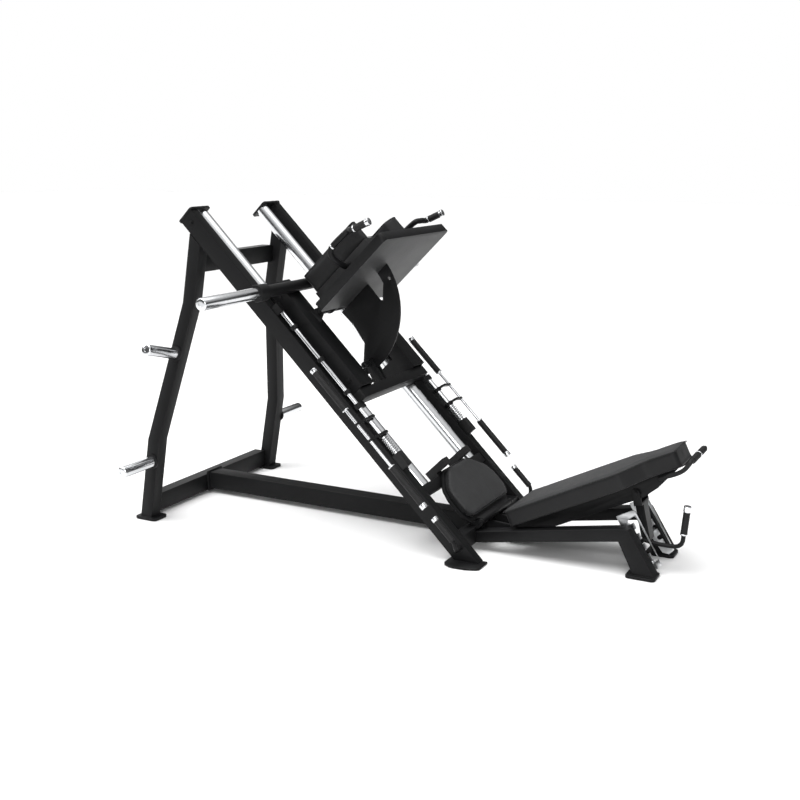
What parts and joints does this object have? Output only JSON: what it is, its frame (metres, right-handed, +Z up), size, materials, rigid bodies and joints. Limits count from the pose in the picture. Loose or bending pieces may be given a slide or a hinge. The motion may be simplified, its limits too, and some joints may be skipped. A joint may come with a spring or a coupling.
{
  "type": "leg press machine",
  "caption": "Plate-loaded 45 degree leg press and hack squat machine: sloping rails, a sliding sled with a tilting foot board, and an adjustable bench on a floor frame.",
  "frame": {"origin": "on the floor, under the middle of the footprint's width, between the rear posts and the bench", "axes": "+Z up, +X from the rear posts towards the head of the bench, -Y on the side of the user's left when lying on the bench"},
  "size_m": [2.4031, 1.784, 1.3921],
  "materials": {
    "black_paint": "satin fine-textured powder coat",
    "plate_paint": "satin powder coat, a little lighter than the frame",
    "chrome": "polished",
    "zinc": "bright zinc plate",
    "spring_steel": "bright drawn wire",
    "black_rubber": "matt, ribbed on the grips",
    "carrier_board": "black-coated plywood",
    "black_vinyl": "grained upholstery vinyl",
    "grey_vinyl": "grained upholstery vinyl, dark grey top"
  },
  "bodies": {
    "base": {"rail_left": "black_paint", "rail_foot_left": "black_paint", "guide_tube_left": "chrome", "rear_post_left": "black_paint", "seat_frame_side_left": "black_paint", "rack_plate_left": "zinc", "stop_bumper_left": "black_rubber", "seat_handle_left": "black_paint", "buffer_block_left": "black_rubber", "buffer_spring_left": "spring_steel", "storage_horn_lower_left": "chrome", "storage_horn_upper_left": "chrome", "rail_right": "black_paint", "rail_foot_right": "black_paint", "guide_tube_right": "chrome", "rear_post_right": "black_paint", "seat_frame_side_right": "black_paint", "rack_plate_right": "zinc", "stop_bumper_right": "black_rubber", "seat_handle_right": "black_paint", "buffer_block_right": "black_rubber", "buffer_spring_right": "spring_steel", "storage_horn_lower_right": "chrome", "storage_horn_upper_right": "chrome", "top_cross_member": "black_paint", "bottom_cross_member": "black_paint", "spine_beam": "black_paint", "front_beam": "black_paint", "lower_cross_tube": "black_paint"},
    "safety_stop_left": {"stop_rod_left": "chrome", "safety_handle_left": "black_paint", "safety_grip_upper_left": "black_rubber", "safety_grip_lower_left": "black_rubber"},
    "safety_stop_right": {"stop_rod_right": "chrome", "safety_handle_right": "black_paint", "safety_grip_upper_right": "black_rubber", "safety_grip_lower_right": "black_rubber"},
    "sled": {"sled_beam_left": "black_paint", "sled_beam_right": "black_paint", "weight_horn_left": "chrome", "weight_horn_right": "chrome", "sled_cross_tube": "black_paint", "sled_lower_cross": "black_paint", "board_hinge_shaft": "black_paint"},
    "lock_pin": {"tilt_lock_pin": "black_paint"},
    "board": {"foot_plate": "plate_paint", "back_pad_carrier": "carrier_board", "back_pad": "black_vinyl", "shoulder_pad_left": "black_vinyl", "shoulder_pad_right": "black_vinyl", "sector_plate": "black_paint", "board_handle_left": "black_paint", "board_handle_right": "black_paint"},
    "seat": {"seat_pan": "black_paint", "seat_pad": "grey_vinyl"},
    "bench": {"bench_frame": "black_paint", "bench_pad": "grey_vinyl", "head_handle": "black_rubber"},
    "strut": {"bench_strut": "black_paint"}
  },
  "joints": [
    {"name": "sled_travel", "type": "slide", "parent": "base", "child": "sled", "axis": [-0.7071, 0, 0.7071], "range_m": [0, 0.4]},
    {"name": "board_tilt", "type": "hinge", "parent": "sled", "child": "board", "pos_m": [-0.37869, 0, 0.96286], "axis": [0, 1, 0], "range_deg": [0, 85]},
    {"name": "lock_pin_pull", "type": "slide", "parent": "sled", "child": "lock_pin", "axis": [0, -1, 0], "range_m": [0, 0.024], "stiffness_N_per_m": 600, "springref_m": -0.01},
    {"name": "safety_left_turn", "type": "hinge", "parent": "base", "child": "safety_stop_left", "pos_m": [-0.22666, -0.325, 0.68638], "axis": [0.7071, 0, -0.7071], "range_deg": [0, 60]},
    {"name": "safety_right_turn", "type": "hinge", "parent": "base", "child": "safety_stop_right", "pos_m": [-0.22666, 0.325, 0.68638], "axis": [-0.7071, 0, 0.7071], "range_deg": [0, 60]},
    {"name": "seat_flip", "type": "hinge", "parent": "base", "child": "seat", "pos_m": [0.34893, 0, 0.11928], "axis": [0, 1, 0], "range_deg": [0, 90]},
    {"name": "bench_tilt", "type": "hinge", "parent": "base", "child": "bench", "pos_m": [0.4445, 0, 0.066], "axis": [0, -1, 0], "range_deg": [-6, 8]},
    {"name": "strut_swing", "type": "hinge", "parent": "bench", "child": "strut", "pos_m": [0.96655, 0, 0.3051], "axis": [0, -1, 0], "range_deg": [-12, 9]}
  ],
  "couplings": [
    {"joint": "strut_swing", "follows": "bench_tilt", "ratio": -1.42}
  ]
}
